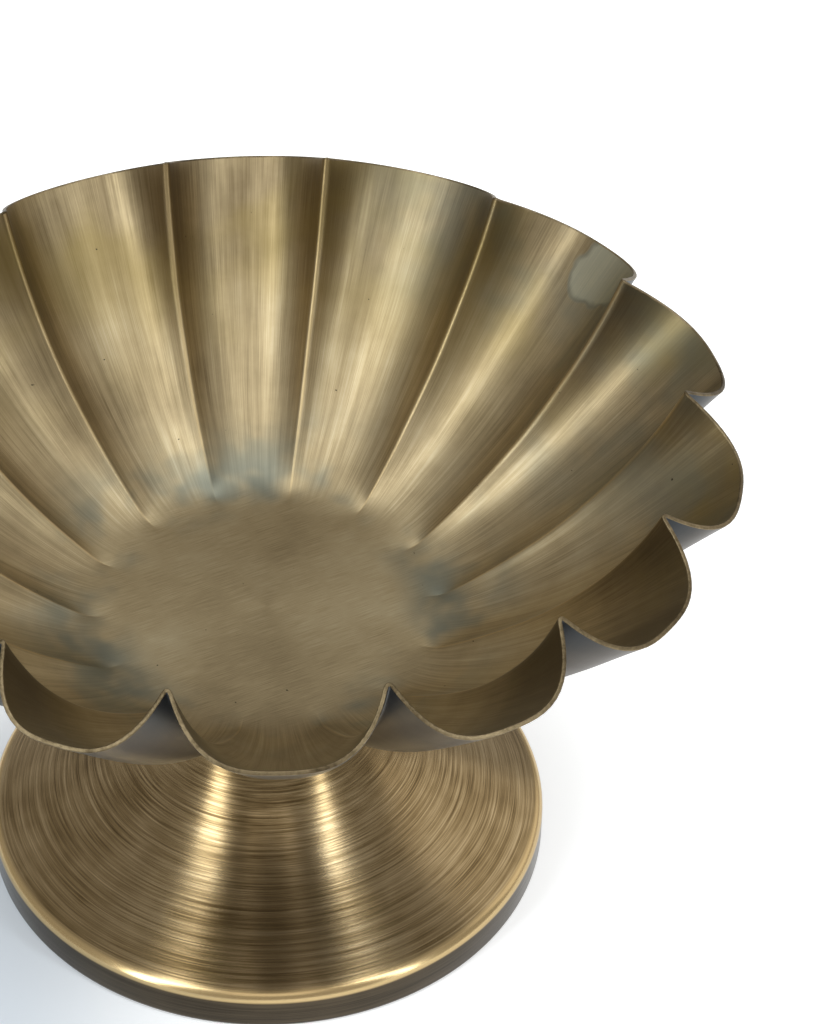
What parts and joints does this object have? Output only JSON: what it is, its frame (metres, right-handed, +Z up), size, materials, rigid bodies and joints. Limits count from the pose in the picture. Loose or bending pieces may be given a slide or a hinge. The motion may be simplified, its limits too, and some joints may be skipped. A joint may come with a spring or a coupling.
{
  "type": "footed fluted bowl",
  "caption": "Footed bowl of thin antique-finish brass sheet: pressed convex flutes, scalloped rim and flat floor, on a hollow trumpet foot held by a hidden stud and nut.",
  "frame": {"origin": "centre of the ring that the foot rests on", "axes": "+Z up along the axis of the bowl and foot, +X through a ridge between two lobes, +Y through the middle of a lobe"},
  "size_m": [0.2466, 0.2502, 0.1547],
  "materials": {
    "bowl_brass": "antique brass, brushed along the flutes, satin, with blue-grey patina in the hollows and bright worn ridges",
    "foot_brass": "antique brass, lathe-brushed in rings, satin, with a bright worn shoulder",
    "plain_brass": "plain dull brass",
    "zinc_steel": "zinc-plated steel"
  },
  "bodies": {
    "root": {"fluted_bowl": "bowl_brass", "pedestal_foot": "foot_brass", "brazed_disc": "plain_brass", "threaded_stud": "zinc_steel", "flat_washer": "zinc_steel", "spring_washer": "zinc_steel", "hex_nut": "zinc_steel"}
  },
  "joints": []
}
